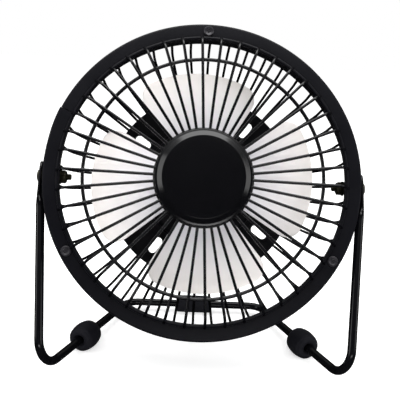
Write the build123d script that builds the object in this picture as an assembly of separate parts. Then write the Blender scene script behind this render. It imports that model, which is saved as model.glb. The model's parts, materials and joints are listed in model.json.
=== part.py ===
from build123d import *
from math import atan2, cos, degrees, radians, sin, sqrt
import os

# Small metal desk fan: a wire-guarded ring held between the legs of a bent-rod stand.
# Millimetres, +Z up, front towards -Y, standing on Z = 0.
# Head pieces are drawn about the head's own axis: Y runs through the fan from front (-) to
# back (+), and the pivot bolts lie on X. place_head() then leans them back and lifts them.

# Driving dimensions: where the head sits
PIVOT_Y = -6.4
PIVOT_Z = 87.1
REST_TILT = 19.0

# Stand
ROD_R = 2.0
PLATE_X = 74.7
LEG_TOP_X = 75.2
PLATE_THICK = 1.4
PLATE_R = 4.0
PLATE_ABOVE = 3.0
PLATE_BELOW = 8.0
ROD_START = 13.0
CORNER = (68.2, -39.2, -79.0)
REAR_END = (37.8, 47.8, -82.5)
CORNER_BEND_R = 10.0
REAR_BEND_R = 9.0
FRONT_FOOT_AT = 0.455
FRONT_FOOT_R = 6.8
FRONT_FOOT_END_R = 5.6
FRONT_FOOT_LENGTH = 13.0
REAR_FOOT_R = 4.85
REAR_FOOT_LENGTH = 20.0

# Ring
SHEET = 0.8
RING_R = 72.0
FLANGE_INNER_R = 64.0
RING_FRONT_Y = -12.0
RING_BACK_Y = 13.0
RING_CORNER_R = 1.0
SEAM_ANGLE = 155.0
SEAM_GAP = 0.3
SCREW_CIRCLE_R = 68.4
SCREW_ANGLES = (90.0, 210.0, 330.0)

# Wires
WIRE_COUNT = 46
WIRE_R = 0.65
RING_WIRE_R = 0.8
WELD = 0.15
PITCH_ANGLE = 360.0 / WIRE_COUNT
FIRST_WIRE_ANGLE = 88.8
FRONT_WIRE_Y = -20.8
HUB_RING_R = 21.4
MIDDLE_RING_R = 52.7
RIM_RING_R = 64.9
FRONT_BEND_R = 61.3
FRONT_WIRE_END_R = 65.8
BASKET_WIRE_R = 68.4
BASKET_BEND_R = 8.0
BASKET_WIRE_START_R = 43.5
BASKET_RIM_WIRE_R = 1.0
BASKET_RIM_Y = -8.65
LUG_BACK_Y = BASKET_RIM_Y - BASKET_RIM_WIRE_R + WELD
LUG_INNER_R = 65.2
LUG_OUTER_R = 69.6
LUG_WIDTH = 8.0
SCREW_SHANK_R = 1.25
SCREW_HEAD_R = 2.35
SCREW_HEAD_THICK = 0.9
SCREW_HEAD_ROUNDING = 0.4
SCREW_RECESS_R = 1.1
SCREW_RECESS_FLOOR = 0.4
SCREW_REACH = 0.4
WIRE_FOLD_R = 3.0

# Cap, disc and motor cup
CAP_R = 21.3
CAP_FACE_R = 17.5
CAP_DEPTH = 2.4
CAP_SHEET = 0.6
CAP_SLOPE = 2.5
DISC_R = 46.5
DISC_Y = 20.0
DISC_HOLE_R = 19.0
SLOT_COUNT = 8
SLOT_CIRCLE_R = 36.7
SLOT_LENGTH = 8.5
SLOT_WIDTH = 4.0
FIRST_SLOT_ANGLE = 9.3
HOUSING_R = 28.0
HOUSING_FRONT_Y = 8.0
HOUSING_FLANGE_R = 31.0
HOUSING_CORNER_R = 2.4
COVER_R = 28.5
COVER_BACK_Y = 42.0
COVER_WALL = 1.5
COVER_SCREW_R = 23.0
COVER_SCREW_ANGLES = (30.0, 150.0, 270.0)
COVER_SCREW_HEAD_R = 2.3
COVER_SCREW_SUNK = 1.0
COVER_SCREW_HOLE_R = 1.4
COVER_CORNER_R = 4.0
POST_R = 3.2
POCKET_R = 2.4
POCKET_DEPTH = 2.5

# Motor
MOTOR_R = 16.0
MOTOR_FRONT_Y = HOUSING_FRONT_Y + SHEET
MOTOR_BACK_Y = 26.8
CAN_WALL = 0.8
SHAFT_R = 1.0
RUNNING_GAP = 0.03
BUSH_R = 2.5
MOTOR_SCREW_R = 9.0
NOSE_R = 3.2
NOSE_LENGTH = 2.0
MAGNET_THICK = 3.5
ARMATURE_R = 10.5
ARMATURE_FRONT_Y = MOTOR_FRONT_Y + 3.5
ARMATURE_LENGTH = 8.5
ARMATURE_CORE_R = 3.6
POLE_COUNT = 3
POLE_NECK = 3.0
POLE_TIP = 2.0
COIL_WIDTH = 2.4
COMMUTATOR_R = 2.8
COMMUTATOR_Y = ARMATURE_FRONT_Y + ARMATURE_LENGTH + 1.0
COMMUTATOR_LENGTH = 2.6
BRUSH_THICK = 0.6
BRUSH_WIDTH = 1.6
BRUSH_FROM_COMMUTATOR = 0.4
MAGNET_FROM_FRONT = 3.0
MAGNET_FROM_BACK = 2.5
END_CAP_INSIDE = 1.5
END_CAP_THICK = 1.0
END_CAP_NOSE_R = 3.6
END_CAP_NOSE = 2.5
MOTOR_SCREW_HEAD_R = 2.2
MOTOR_SCREW_HEAD = 1.2
COIL_MIDDLE_R = 6.3
COIL_DEPTH = 3.4
COIL_OVERHANG = 1.6
COIL_INNER_R = 4.6
FIT_GAP = 0.1
SHAFT_AHEAD = 4.5
SHAFT_BEHIND = 3.2

# Blades
BLADE_COUNT = 4
BLADE_TIP_R = 51.5
BLADE_ROOT_R = 13.0
BLADE_SPAN_ANGLE = 70.5
BLADE_TWIST = 12.0
BLADE_THICK = 0.8
BLADE_CORNER_R = 8.0
FIRST_BLADE_ANGLE = 4.0
BLADE_Y = -2.0
BLADE_HUB_R = 16.0
BOSS_SPIGOT_R = 3.0
BOSS_SHOULDER_R = 5.5
BOSS_R = 4.0
BOSS_NOSE = 2.2
BOSS_SHOULDER_THICK = 1.5
BOSS_LENGTH = 6.5

# Pivot stack, all distances along X from the head's middle
BOLT_R = 1.5
HINGE_GAP = 0.05
BOLT_TAIL_X = 61.0
NUT_X = 63.2
NUT_THICK = 2.5
WASHER_THICK = 0.8
BUSH_OUTER_X = 71.0
PIVOT_BUSH_R = 2.4
BOLT_HEAD_X = 76.7
BOLT_HEAD_R = 2.9
WASHER_R = 3.4
NUT_ACROSS_FLATS = 5.5
BOLT_HEAD_ROUNDING = 0.9
SPACER_INSET = 0.3

# Switch and cord inlet, heights above the head's axis
SWITCH_Z = 9.0
SWITCH_WIDTH = 9.0
SWITCH_HEIGHT = 14.0
SWITCH_BACK_Y = COVER_BACK_Y + 1.0
SWITCH_FRONT_Y = 32.5
ROCKER_WIDTH = 6.6
ROCKER_HEIGHT = 11.0
ROCKER_PIN_R = 0.6
ROCKER_Y = 40.6
ROCKER_TILT = 7.0
ROCKER_PIN_END = 4.0
ROCKER_SIDE_GAP = 0.5
ROCKER_END_GAP = 1.2
ROCKER_EDGE = 0.6
ROCKER_KEEL = 2.4
ROCKER_DIP = 1.1
ROCKER_PROUD = 1.0
BEZEL_BORDER = 2.0
LEAD_R = 0.6
LEAD_MOTOR_X = 7.0
LEAD_SWITCH_X = 2.5
LEAD_LOW_Z = 2.0
LEAD_HIGH_Z = 7.5
LEAD_TURN_Y = SWITCH_FRONT_Y - 1.2
LEAD_BENDS = (1.2, 0.9)
INLET_Z = -15.0
CORD_R = 1.8
GROMMET_R = 3.6
GROMMET_NECK_R = 2.4
GROMMET_INSIDE = 3.0
GROMMET_LIP = 1.6
GROMMET_ROUNDING = 0.7


def revolved(outline):
    """Turns a closed outline, given as (radius, y) points, about the head's axis."""
    face = make_face(Polyline(*[(r, y, 0) for r, y in outline], close=True).edges())
    return revolve(face, axis=Axis.Y)


def disc_between(radius, y0, y1):
    """A round bar along the head's axis."""
    return extrude(Plane.XZ.offset(-y0) * Circle(radius), -(y1 - y0))


def tube_between(outer, inner, y0, y1):
    return disc_between(outer, y0, y1) - disc_between(inner, y0 - 1, y1 + 1)


def around_axis(part, angle):
    """Turns a piece about the head's axis, anticlockwise as seen from the front."""
    return Rot(0, -angle, 0) * part


def wire_ring(radius, y, wire_radius):
    section = Plane.XY * Pos(radius, y) * Circle(wire_radius)
    return revolve(section, axis=Axis.Y)


def bar_along_x(radius, x0, x1):
    return extrude(Plane.YZ.offset(x0) * Circle(radius), x1 - x0)


def swept_rod(path, radius):
    return sweep(Plane(path @ 0, z_dir=path % 0) * Circle(radius), path=path)


def both_sides(part):
    return Compound(children=[part, mirror(part, about=Plane.YZ)])


def group(parts):
    return Compound(children=list(parts))


def place_head(part):
    return Pos(0, PIVOT_Y, PIVOT_Z) * Rot(-REST_TILT, 0, 0) * part


def at_pivot(point):
    return Vector(point[0], PIVOT_Y + point[1], PIVOT_Z + point[2])


# Stand

def leg_direction():
    length = sqrt(CORNER[1] ** 2 + CORNER[2] ** 2)
    return CORNER[1] / length, CORNER[2] / length


def leg_top():
    """The right leg's flattened end, and its blend into the round rod."""
    along_y, along_z = leg_direction()
    lean = degrees(atan2(along_y, -along_z))
    plate = Pos(0, 0, PLATE_ABOVE) * extrude(Plane.YZ * Circle(PLATE_R), PLATE_THICK / 2, both=True)
    length = PLATE_ABOVE + PLATE_BELOW
    plate += Pos(0, 0, PLATE_ABOVE - length / 2) * Box(PLATE_THICK, 2 * PLATE_R, length)
    plate = Rot(lean, 0, 0) * plate
    leg_start = rod_point(ROD_START)
    rod_axis = (Vector(*CORNER) - leg_start).normalized()
    flat_end = Plane((0, along_y * PLATE_BELOW, along_z * PLATE_BELOW), x_dir=(1, 0, 0),
                     z_dir=(0, along_y, along_z))
    round_end = Plane(leg_start - Vector(PLATE_X, 0, 0), x_dir=(1, 0, 0), z_dir=rod_axis)
    blend = loft([flat_end * Rectangle(PLATE_THICK, 2 * PLATE_R), round_end * Circle(ROD_R)])
    hole = bar_along_x(BOLT_R + HINGE_GAP, -PLATE_THICK, PLATE_THICK)
    top = plate + blend - hole
    return Pos(PLATE_X, PIVOT_Y, PIVOT_Z) * top


def rod_point(distance):
    """A point on the right leg's centre line, this far below the pivot."""
    along_y, along_z = leg_direction()
    length = sqrt(CORNER[1] ** 2 + CORNER[2] ** 2)
    x = LEG_TOP_X + (CORNER[0] - LEG_TOP_X) * distance / length
    return Vector(x, along_y * distance, along_z * distance)


def mirrored(point):
    return Vector(-point.X, point.Y, point.Z)


def stand_frame():
    right = [at_pivot(tuple(rod_point(ROD_START))), at_pivot(CORNER), at_pivot(REAR_END)]
    left = [mirrored(point) for point in reversed(right)]
    bends = [CORNER_BEND_R, REAR_BEND_R, REAR_BEND_R, CORNER_BEND_R]
    rod = swept_rod(FilletPolyline(*right, *left, radius=bends), ROD_R)
    top = leg_top()
    return rod + top + mirror(top, about=Plane.YZ)


def above_floor(part):
    return part - Pos(0, 0, -10) * Box(300, 300, 20)


def barrel(radius, end_radius, length, rounding):
    """A rubber sleeve along Z with swelling sides and rounded ends."""
    half = length / 2
    side = ThreePointArc((end_radius, -half), (radius, 0), (end_radius, half))
    ends = Polyline((end_radius, half), (ROD_R, half), (ROD_R, -half), (end_radius, -half))
    face = make_face(side.edges() + ends.edges())
    face = Plane.XZ * face
    sleeve = revolve(face, axis=Axis.Z)
    rims = [edge for edge in sleeve.edges().filter_by(GeomType.CIRCLE) if edge.radius > ROD_R + 1]
    return fillet(rims, rounding)


def front_foot():
    corner = at_pivot(CORNER)
    rear = at_pivot(REAR_END)
    middle = corner + (rear - corner) * FRONT_FOOT_AT
    seat = Plane(middle, z_dir=rear - corner)
    foot = seat * barrel(FRONT_FOOT_R, FRONT_FOOT_END_R, FRONT_FOOT_LENGTH, 1.0)
    return above_floor(foot)


def rear_foot():
    """A plain rubber sleeve round the middle of the rear bar."""
    middle = at_pivot((0, REAR_END[1], REAR_END[2]))
    half = REAR_FOOT_LENGTH / 2
    sleeve = bar_along_x(REAR_FOOT_R, -half, half)
    sleeve = fillet(sleeve.edges().filter_by(GeomType.CIRCLE), 1.0)
    return above_floor(Pos(*middle) * (sleeve - bar_along_x(ROD_R, -half, half)))


# Ring and front guard

def ring_shell():
    outline = [(FLANGE_INNER_R, RING_FRONT_Y), (RING_R, RING_FRONT_Y), (RING_R, RING_BACK_Y),
               (RING_R - SHEET, RING_BACK_Y), (RING_R - SHEET, RING_FRONT_Y + SHEET),
               (FLANGE_INNER_R, RING_FRONT_Y + SHEET)]
    section = make_face(Polyline(*outline, close=True).edges())
    outer_corner = section.vertices().sort_by_distance((RING_R, RING_FRONT_Y, 0))[0]
    section = fillet(outer_corner, RING_CORNER_R)
    inside = (RING_R - SHEET, RING_FRONT_Y + SHEET, 0)
    section = fillet(section.vertices().sort_by_distance(inside)[0], RING_CORNER_R - SHEET)
    ring = revolve(section, axis=Axis.Y)
    for angle in SCREW_ANGLES:
        ring -= around_axis(Pos(SCREW_CIRCLE_R) * disc_between(BOLT_R, RING_FRONT_Y - 1, RING_FRONT_Y + 2), angle)
    ring -= bar_along_x(BOLT_R, -RING_R - 1, RING_R + 1)
    seam = Pos((FLANGE_INNER_R + RING_R) / 2, 0, 0) * Box(20, 60, SEAM_GAP)
    return ring - around_axis(seam, SEAM_ANGLE)


def front_wires():
    start = (HUB_RING_R - RING_WIRE_R, FRONT_WIRE_Y, 0)
    bend = (FRONT_BEND_R, FRONT_WIRE_Y, 0)
    end = (FRONT_WIRE_END_R, RING_FRONT_Y - 2 * RING_WIRE_R, 0)
    wire = swept_rod(FilletPolyline(start, bend, end, radius=WIRE_FOLD_R), WIRE_R)
    angles = [FIRST_WIRE_ANGLE + (k + 0.5) * PITCH_ANGLE for k in range(WIRE_COUNT)]
    return group(around_axis(wire, angle) for angle in angles)


def front_cap():
    back = FRONT_WIRE_Y - WIRE_R + 0.05
    face = back - CAP_DEPTH
    lip_r = CAP_FACE_R + CAP_SLOPE
    outline = [(0, face), (CAP_FACE_R, face), (lip_r, back - CAP_SHEET), (CAP_R, back - CAP_SHEET),
               (CAP_R, back), (lip_r - CAP_SHEET / 2, back), (CAP_FACE_R - CAP_SHEET / 2, face + CAP_SHEET),
               (0, face + CAP_SHEET)]
    return revolved(outline)


def guard_screw():
    """Short pan-head screw: head with a round recess, shank into the tab behind the flange."""
    screw = disc_between(SCREW_HEAD_R, RING_FRONT_Y - SCREW_HEAD_THICK, RING_FRONT_Y)
    rim = screw.edges().filter_by(GeomType.CIRCLE).sort_by(Axis.Y)[0]
    screw = fillet(rim, SCREW_HEAD_ROUNDING)
    screw -= disc_between(SCREW_RECESS_R, RING_FRONT_Y - 2, RING_FRONT_Y - SCREW_RECESS_FLOOR)
    return screw + disc_between(SCREW_SHANK_R, RING_FRONT_Y, LUG_BACK_Y - SCREW_REACH)


def guard_lug():
    front = RING_FRONT_Y + SHEET
    middle = Pos((LUG_INNER_R + LUG_OUTER_R) / 2, (front + LUG_BACK_Y) / 2, 0)
    lug = middle * Box(LUG_OUTER_R - LUG_INNER_R, LUG_BACK_Y - front, LUG_WIDTH)
    return lug - Pos(SCREW_CIRCLE_R) * disc_between(SCREW_SHANK_R, RING_FRONT_Y, LUG_BACK_Y + 1)


def on_screw_circle(part, moved_out):
    return group(around_axis(Pos(moved_out) * part, angle) for angle in SCREW_ANGLES)


# Rear basket

def rear_wires():
    y = DISC_Y + SHEET + WIRE_R - WELD / 3
    path = FilletPolyline((BASKET_WIRE_START_R, y, 0), (BASKET_WIRE_R, y, 0),
                          (BASKET_WIRE_R, BASKET_RIM_Y, 0), radius=BASKET_BEND_R)
    wire = swept_rod(path, WIRE_R)
    return group(around_axis(wire, FIRST_WIRE_ANGLE + k * PITCH_ANGLE) for k in range(WIRE_COUNT))


def rear_disc():
    disc = tube_between(DISC_R, DISC_HOLE_R, DISC_Y, DISC_Y + SHEET)
    slot = Plane.XZ * SlotOverall(SLOT_LENGTH, SLOT_WIDTH)
    cutter = Pos(SLOT_CIRCLE_R, DISC_Y, 0) * extrude(slot, 2, both=True)
    for k in range(SLOT_COUNT):
        disc -= around_axis(cutter, FIRST_SLOT_ANGLE + k * 360 / SLOT_COUNT)
    for angle in COVER_SCREW_ANGLES:
        disc -= around_axis(Pos(COVER_SCREW_R) * disc_between(SCREW_SHANK_R, DISC_Y - 1, DISC_Y + 2), angle)
    return disc


def motor_housing():
    hole_r = NOSE_R + FIT_GAP
    outline = [(hole_r, HOUSING_FRONT_Y), (HOUSING_R, HOUSING_FRONT_Y), (HOUSING_R, DISC_Y - SHEET),
               (HOUSING_FLANGE_R, DISC_Y - SHEET), (HOUSING_FLANGE_R, DISC_Y),
               (HOUSING_R - SHEET, DISC_Y), (HOUSING_R - SHEET, MOTOR_FRONT_Y), (hole_r, MOTOR_FRONT_Y)]
    section = make_face(Polyline(*outline, close=True).edges())
    outside = section.vertices().sort_by_distance((HOUSING_R, HOUSING_FRONT_Y, 0))[0]
    section = fillet(outside, HOUSING_CORNER_R)
    inside = section.vertices().sort_by_distance((HOUSING_R - SHEET, MOTOR_FRONT_Y, 0))[0]
    section = fillet(inside, HOUSING_CORNER_R - SHEET)
    housing = revolve(section, axis=Axis.Y)
    for side in (-1, 1):
        housing -= Pos(side * MOTOR_SCREW_R) * disc_between(SCREW_SHANK_R + 0.05, 5, 12)
    return housing


# Motor

def motor_can():
    nose_y = MOTOR_FRONT_Y - NOSE_LENGTH
    outline = [(BUSH_R, nose_y), (NOSE_R, nose_y), (NOSE_R, MOTOR_FRONT_Y),
               (MOTOR_R, MOTOR_FRONT_Y), (MOTOR_R, MOTOR_BACK_Y), (MOTOR_R - CAN_WALL, MOTOR_BACK_Y),
               (MOTOR_R - CAN_WALL, MOTOR_FRONT_Y + CAN_WALL), (BUSH_R, MOTOR_FRONT_Y + CAN_WALL)]
    can = revolved(outline)
    for side in (-1, 1):
        can -= Pos(side * MOTOR_SCREW_R) * disc_between(SCREW_SHANK_R, 5, 12)
    return can


def motor_magnets():
    inner = MOTOR_R - CAN_WALL
    front = MOTOR_FRONT_Y + MAGNET_FROM_FRONT
    sleeve = tube_between(inner, inner - MAGNET_THICK, front, MOTOR_BACK_Y - MAGNET_FROM_BACK)
    return group([sleeve & Pos(0, 0, side * 15) * Box(24, 60, 18) for side in (-1, 1)])


def motor_end_cap():
    front = MOTOR_BACK_Y - END_CAP_INSIDE
    face = MOTOR_BACK_Y + END_CAP_THICK
    back = MOTOR_BACK_Y + END_CAP_NOSE
    outline = [(BUSH_R, front), (MOTOR_R - CAN_WALL, front), (MOTOR_R - CAN_WALL, MOTOR_BACK_Y),
               (MOTOR_R, MOTOR_BACK_Y), (MOTOR_R, face), (END_CAP_NOSE_R, face),
               (END_CAP_NOSE_R, back), (BUSH_R, back)]
    return revolved(outline)


def motor_screws():
    screws = []
    for side in (-1, 1):
        screw = disc_between(MOTOR_SCREW_HEAD_R, HOUSING_FRONT_Y - MOTOR_SCREW_HEAD, HOUSING_FRONT_Y)
        screw = fillet(screw.edges().filter_by(GeomType.CIRCLE).sort_by(Axis.Y)[0], 0.5)
        screw += disc_between(SCREW_SHANK_R, HOUSING_FRONT_Y, MOTOR_FRONT_Y + CAN_WALL)
        screws.append(Pos(side * MOTOR_SCREW_R) * screw)
    return group(screws)


def shaft_bush(y0, y1):
    return tube_between(BUSH_R, SHAFT_R + RUNNING_GAP, y0, y1)


def armature_core():
    """Three-pole stack: a round middle, three necks and three curved pole shoes."""
    y0, y1 = ARMATURE_FRONT_Y, ARMATURE_FRONT_Y + ARMATURE_LENGTH
    middle_y = (y0 + y1) / 2
    core = disc_between(ARMATURE_CORE_R, y0, y1)
    shoes = tube_between(ARMATURE_R, ARMATURE_R - POLE_TIP, y0, y1)
    for k in range(POLE_COUNT):
        angle = 90 + 120 * k
        neck = Pos(ARMATURE_R / 2, middle_y, 0) * Box(ARMATURE_R - 1, ARMATURE_LENGTH, POLE_NECK)
        core += around_axis(neck, angle)
        gap = Pos(ARMATURE_R, middle_y, 0) * Box(8, ARMATURE_LENGTH + 2, 2.0)
        shoes -= around_axis(gap, angle + 60)
    return core + shoes - disc_between(SHAFT_R, y0 - 1, y1 + 1)


def armature_windings():
    """A coil round each neck, between the middle and the pole shoe."""
    middle_y = ARMATURE_FRONT_Y + ARMATURE_LENGTH / 2
    neck_hole = Pos(6, middle_y, 0) * Box(12, ARMATURE_LENGTH, POLE_NECK)
    length = ARMATURE_LENGTH + COIL_OVERHANG
    coil = Pos(COIL_MIDDLE_R, middle_y, 0) * Box(COIL_DEPTH, length, POLE_NECK + 2 * COIL_WIDTH)
    coil -= neck_hole
    coil &= tube_between(ARMATURE_R - POLE_TIP - FIT_GAP, COIL_INNER_R, 0, 40)
    return group(around_axis(coil, 90 + 120 * k) for k in range(POLE_COUNT))


def motor_brushes():
    """Two spring strips standing on the end cap, one each side of the commutator."""
    front = COMMUTATOR_Y + BRUSH_FROM_COMMUTATOR
    back = MOTOR_BACK_Y - END_CAP_INSIDE
    middle = Pos(COMMUTATOR_R + BRUSH_FROM_COMMUTATOR, (front + back) / 2, 0)
    strip = middle * Box(BRUSH_THICK, back - front, BRUSH_WIDTH)
    return both_sides(strip)


def motor_shaft():
    return disc_between(SHAFT_R, BLADE_Y - SHAFT_AHEAD, MOTOR_BACK_Y + SHAFT_BEHIND)


# Blades

def blade():
    """One flat blade along +X: a ring sector with rounded tip corners, tipped about its middle."""
    half = radians(BLADE_SPAN_ANGLE / 2)
    tip = [(BLADE_TIP_R * cos(a), BLADE_TIP_R * sin(a)) for a in (-half, 0, half)]
    root = [(BLADE_ROOT_R * cos(a), BLADE_ROOT_R * sin(a)) for a in (half, 0, -half)]
    outline = ThreePointArc(*tip).edges() + Line(tip[2], root[0]).edges()
    outline += ThreePointArc(*root).edges() + Line(root[2], tip[0]).edges()
    sector = make_face(outline)
    corners = [v for v in sector.vertices() if Vector(v.X, v.Y, 0).length > BLADE_TIP_R - 1]
    sector = fillet(corners, BLADE_CORNER_R)
    plate = extrude(Plane.XZ * sector, BLADE_THICK / 2, both=True)
    return Rot(BLADE_TWIST, 0, 0) * plate


def blade_wheel():
    wheel = disc_between(BLADE_HUB_R, -BLADE_THICK / 2, BLADE_THICK / 2)
    for k in range(BLADE_COUNT):
        wheel += around_axis(blade(), FIRST_BLADE_ANGLE + 90 * k)
    wheel -= disc_between(BOSS_SPIGOT_R, -5, 5)
    return Pos(0, BLADE_Y, 0) * wheel


def blade_boss():
    back = BLADE_Y + BLADE_THICK / 2
    boss = disc_between(BOSS_SPIGOT_R, BLADE_Y - BOSS_NOSE, back)
    boss += disc_between(BOSS_SHOULDER_R, back, back + BOSS_SHOULDER_THICK)
    boss += disc_between(BOSS_R, back + BOSS_SHOULDER_THICK, back + BOSS_LENGTH)
    return boss - disc_between(SHAFT_R, -10, 10)


# Rear cover, switch and cord inlet

def on_cover_screws(part):
    return group(around_axis(Pos(COVER_SCREW_R) * part, angle) for angle in COVER_SCREW_ANGLES)


def rear_cover():
    front = DISC_Y + SHEET
    cover = disc_between(COVER_R, front, COVER_BACK_Y)
    cover = fillet(cover.edges().filter_by(GeomType.CIRCLE).sort_by(Axis.Y)[-1], COVER_CORNER_R)
    hollow = disc_between(COVER_R - COVER_WALL, front - 1, COVER_BACK_Y - COVER_WALL)
    inner_edge = hollow.edges().filter_by(GeomType.CIRCLE).sort_by(Axis.Y)[-1]
    hollow = fillet(inner_edge, COVER_CORNER_R - COVER_WALL)
    cover -= hollow
    post = disc_between(POST_R, front, COVER_BACK_Y - COVER_WALL / 3)
    drilling = disc_between(COVER_SCREW_HOLE_R, 10, 50)
    drilling += disc_between(POCKET_R, COVER_BACK_Y - POCKET_DEPTH, 50)
    for angle in COVER_SCREW_ANGLES:
        cover += around_axis(Pos(COVER_SCREW_R) * post, angle)
    for angle in COVER_SCREW_ANGLES:
        cover -= around_axis(Pos(COVER_SCREW_R) * drilling, angle)
    window = Pos(0, COVER_BACK_Y, SWITCH_Z) * Box(SWITCH_WIDTH, 10, SWITCH_HEIGHT)
    cover -= window
    return cover - Pos(0, 0, INLET_Z) * disc_between(GROMMET_NECK_R, 35, 50)


def cover_screw():
    seat = COVER_BACK_Y - POCKET_DEPTH
    screw = disc_between(COVER_SCREW_HEAD_R, seat, COVER_BACK_Y - COVER_SCREW_SUNK)
    return screw + disc_between(SCREW_SHANK_R, DISC_Y, seat)


def switch_body():
    """A snap-in case with a bezel outside the cover and a pocket for the rocker."""
    depth = COVER_BACK_Y - SWITCH_FRONT_Y
    case = Pos(0, SWITCH_FRONT_Y + depth / 2, 0) * Box(SWITCH_WIDTH, depth, SWITCH_HEIGHT)
    bezel = Pos(0, (COVER_BACK_Y + SWITCH_BACK_Y) / 2, 0)
    case += bezel * Box(SWITCH_WIDTH + BEZEL_BORDER, SWITCH_BACK_Y - COVER_BACK_Y,
                        SWITCH_HEIGHT + BEZEL_BORDER)
    pocket = Box(ROCKER_WIDTH + ROCKER_SIDE_GAP, 12.0, ROCKER_HEIGHT + ROCKER_END_GAP)
    case -= Pos(0, SWITCH_BACK_Y, 0) * pocket
    bearing_end = ROCKER_PIN_END + FIT_GAP
    return case - Pos(0, ROCKER_Y, 0) * bar_along_x(ROCKER_PIN_R + HINGE_GAP, -bearing_end, bearing_end)


def switch_rocker():
    """A shallow V-backed rocker on two short pins, leaning to its off side."""
    top = SWITCH_BACK_Y + ROCKER_PROUD
    edge = ROCKER_Y - ROCKER_EDGE
    half = ROCKER_HEIGHT / 2
    outline = [(-half, edge), (0, ROCKER_Y - ROCKER_KEEL), (half, edge),
               (half, top), (0, top - ROCKER_DIP), (-half, top)]
    face = make_face(Polyline(*[(y, z) for z, y in outline], close=True).edges())
    rocker = extrude(Plane.YZ * face, ROCKER_WIDTH / 2, both=True)
    rocker += Pos(0, ROCKER_Y, 0) * bar_along_x(ROCKER_PIN_R, -ROCKER_PIN_END, ROCKER_PIN_END)
    hinge = Pos(0, ROCKER_Y, 0)
    return hinge * Rot(ROCKER_TILT, 0, 0) * hinge.inverse() * rocker


def switch_place(part):
    return Pos(0, 0, SWITCH_Z) * part


def lead_wires():
    """Two short leads from the motor's back to the switch."""
    leads = []
    for side in (-1, 1):
        start = (side * LEAD_MOTOR_X, MOTOR_BACK_Y + END_CAP_THICK, LEAD_LOW_Z)
        turn = (side * LEAD_MOTOR_X, LEAD_TURN_Y, LEAD_LOW_Z)
        end = (side * LEAD_SWITCH_X, LEAD_TURN_Y, LEAD_HIGH_Z)
        last = (side * LEAD_SWITCH_X, SWITCH_FRONT_Y, LEAD_HIGH_Z)
        path = FilletPolyline(start, turn, end, last, radius=list(LEAD_BENDS))
        leads.append(swept_rod(path, LEAD_R))
    return group(leads)


def cord_grommet():
    sleeve = disc_between(GROMMET_NECK_R, COVER_BACK_Y - GROMMET_INSIDE, COVER_BACK_Y)
    sleeve += disc_between(GROMMET_R, COVER_BACK_Y, COVER_BACK_Y + GROMMET_LIP)
    rim = sleeve.edges().filter_by(GeomType.CIRCLE).sort_by(Axis.Y)[-1]
    sleeve = fillet(rim, GROMMET_ROUNDING)
    return Pos(0, 0, INLET_Z) * (sleeve - disc_between(CORD_R, 30, 60))


# Pivot stack on the right, copied to the left

def pivot_bolt():
    outer = PLATE_X + PLATE_THICK / 2 + HINGE_GAP
    head = bar_along_x(BOLT_HEAD_R, outer, BOLT_HEAD_X)
    head = fillet(head.edges().filter_by(GeomType.CIRCLE).sort_by(Axis.X)[-1], BOLT_HEAD_ROUNDING)
    return head + bar_along_x(BOLT_R, BOLT_TAIL_X, outer)


def washer(x0, x1, radius=WASHER_R):
    return bar_along_x(radius, x0, x1) - bar_along_x(BOLT_R, x0 - 1, x1 + 1)


def pivot_nut():
    hexagon = RegularPolygon(NUT_ACROSS_FLATS / 2, 6, major_radius=False)
    nut = extrude(Plane.YZ.offset(NUT_X) * hexagon, NUT_THICK)
    return nut - bar_along_x(BOLT_R, NUT_X - 1, NUT_X + NUT_THICK + 1)


def pivot_spacer():
    spacer = washer(RING_R - SPACER_INSET, PLATE_X - PLATE_THICK / 2 - HINGE_GAP)
    return spacer - disc_between(RING_R, -10, 10)


def pivot_bush():
    bush = washer(NUT_X + NUT_THICK + WASHER_THICK, BUSH_OUTER_X + 1, PIVOT_BUSH_R)
    return bush & disc_between(RING_R - SHEET, -10, 10)


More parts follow.
